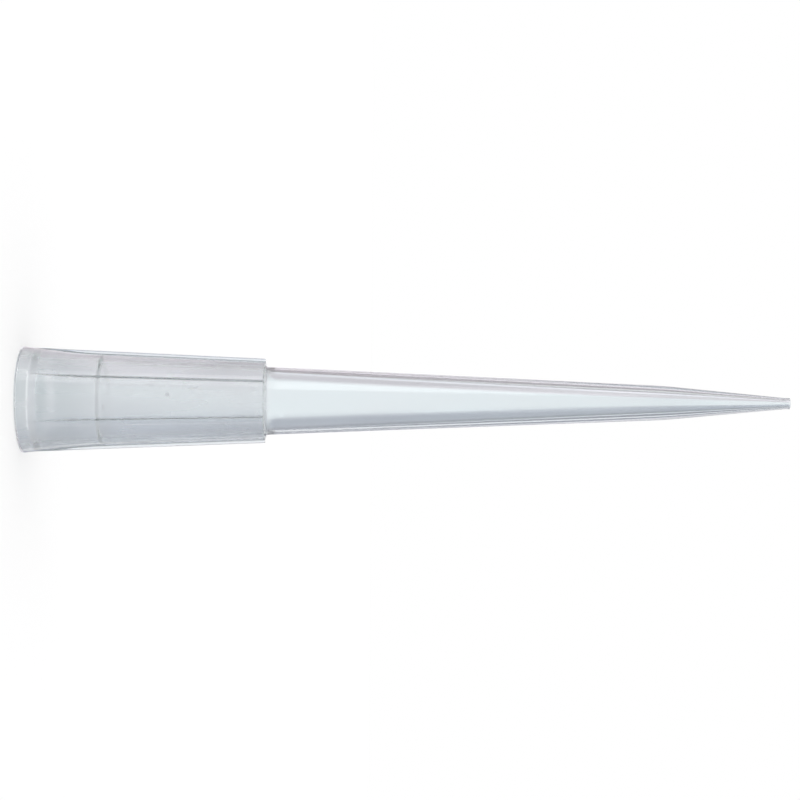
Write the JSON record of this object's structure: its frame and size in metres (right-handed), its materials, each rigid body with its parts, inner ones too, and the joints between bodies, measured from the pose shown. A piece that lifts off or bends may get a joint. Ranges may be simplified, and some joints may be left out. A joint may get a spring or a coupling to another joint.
{
  "type": "pipette tip",
  "caption": "Translucent pipette tip: a flared, ribbed socket collar at the mouth, a long thin-walled hollow cone, and a steeper point that ends in a fine orifice.",
  "frame": {"origin": "centre of the mouth rim's flat face, which the tip stands on", "axes": "+Z along the tip's own axis, from the mouth to the orifice; +X through the middle of one rib"},
  "size_m": [0.007, 0.007, 0.051],
  "materials": {
    "natural_polypropylene": "clear to slightly milky natural polypropylene, glossy on the cone and a little hazier on the thick collar"
  },
  "bodies": {
    "root": {"tip_body": "natural_polypropylene"}
  },
  "joints": []
}
